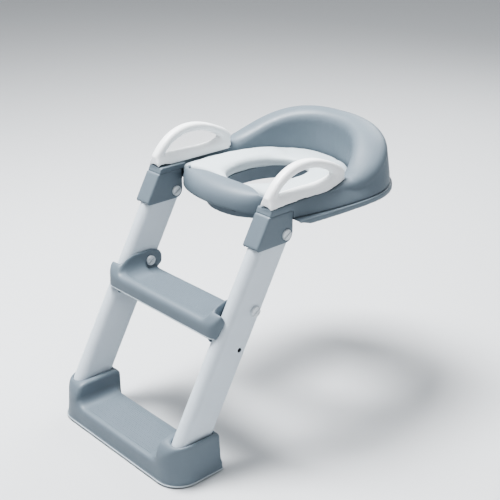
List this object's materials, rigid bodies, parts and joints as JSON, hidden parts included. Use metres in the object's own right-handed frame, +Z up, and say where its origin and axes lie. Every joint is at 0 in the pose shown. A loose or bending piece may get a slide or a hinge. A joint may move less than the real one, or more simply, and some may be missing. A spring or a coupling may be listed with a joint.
{
  "type": "potty training seat with step ladder",
  "caption": "Toddler toilet seat with raised back, side handles, ring cushion and splash guard on a folding step ladder.",
  "frame": {"origin": "centre of the bounding box at floor level: the floor plane, the symmetry plane and the middle of the depth", "axes": "+X to the right leg as seen by a user facing the seat's back, +Y from the ladder's foot to the back of the toilet, +Z up"},
  "size_m": [0.3782, 0.587, 0.5115],
  "materials": {
    "grey_shell": "satin moulded polypropylene, blue-grey",
    "white_handle": "smooth moulded polypropylene, white",
    "white_leg": "satin extruded polypropylene, cool white",
    "white_cap": "moulded slotted caps, pale grey",
    "cushion": "foam with a smooth polyurethane skin, white",
    "pad_rubber": "soft anti-slip elastomer, grey",
    "bush_plastic": "turned acetal",
    "screw_steel": "zinc-plated"
  },
  "bodies": {
    "seat": {"seat_shell": "grey_shell", "seat_pan": "grey_shell", "seat_base_frame": "grey_shell", "leg_bracket_right": "grey_shell", "leg_bracket_left": "grey_shell", "bracket_screws": "screw_steel", "front_guard": "grey_shell", "seat_cushion": "cushion", "rim_pads": "pad_rubber", "seat_screws": "screw_steel", "guard_screws": "screw_steel", "handle_screws": "screw_steel", "handle_right": "white_handle", "handle_left": "white_handle", "hinge_bolt_right": "white_cap", "hinge_bolt_left": "white_cap", "hinge_nut_right": "white_cap", "hinge_nut_left": "white_cap"},
    "ladder": {"bottom_step": "grey_shell", "foot_pads": "pad_rubber", "foot_screws": "screw_steel", "leg_right": "white_leg", "leg_left": "white_leg", "leg_plug_right": "white_leg", "leg_plug_left": "white_leg", "hinge_bush_right": "bush_plastic", "hinge_bush_left": "bush_plastic", "step_bush_right": "bush_plastic", "step_bush_left": "bush_plastic"},
    "upper_step": {"middle_step": "grey_shell", "step_bolt_right": "white_cap", "step_bolt_left": "white_cap", "step_nut_right": "white_cap", "step_nut_left": "white_cap"}
  },
  "joints": [
    {"name": "ladder_fold", "type": "hinge", "parent": "seat", "child": "ladder", "pos_m": [0, -0.0345, 0.387], "axis": [1, 0, 0], "range_deg": [0, 103]},
    {"name": "step_fold", "type": "hinge", "parent": "ladder", "child": "upper_step", "pos_m": [0, -0.10221, 0.26733], "axis": [-1, 0, 0], "range_deg": [0, 58]}
  ]
}
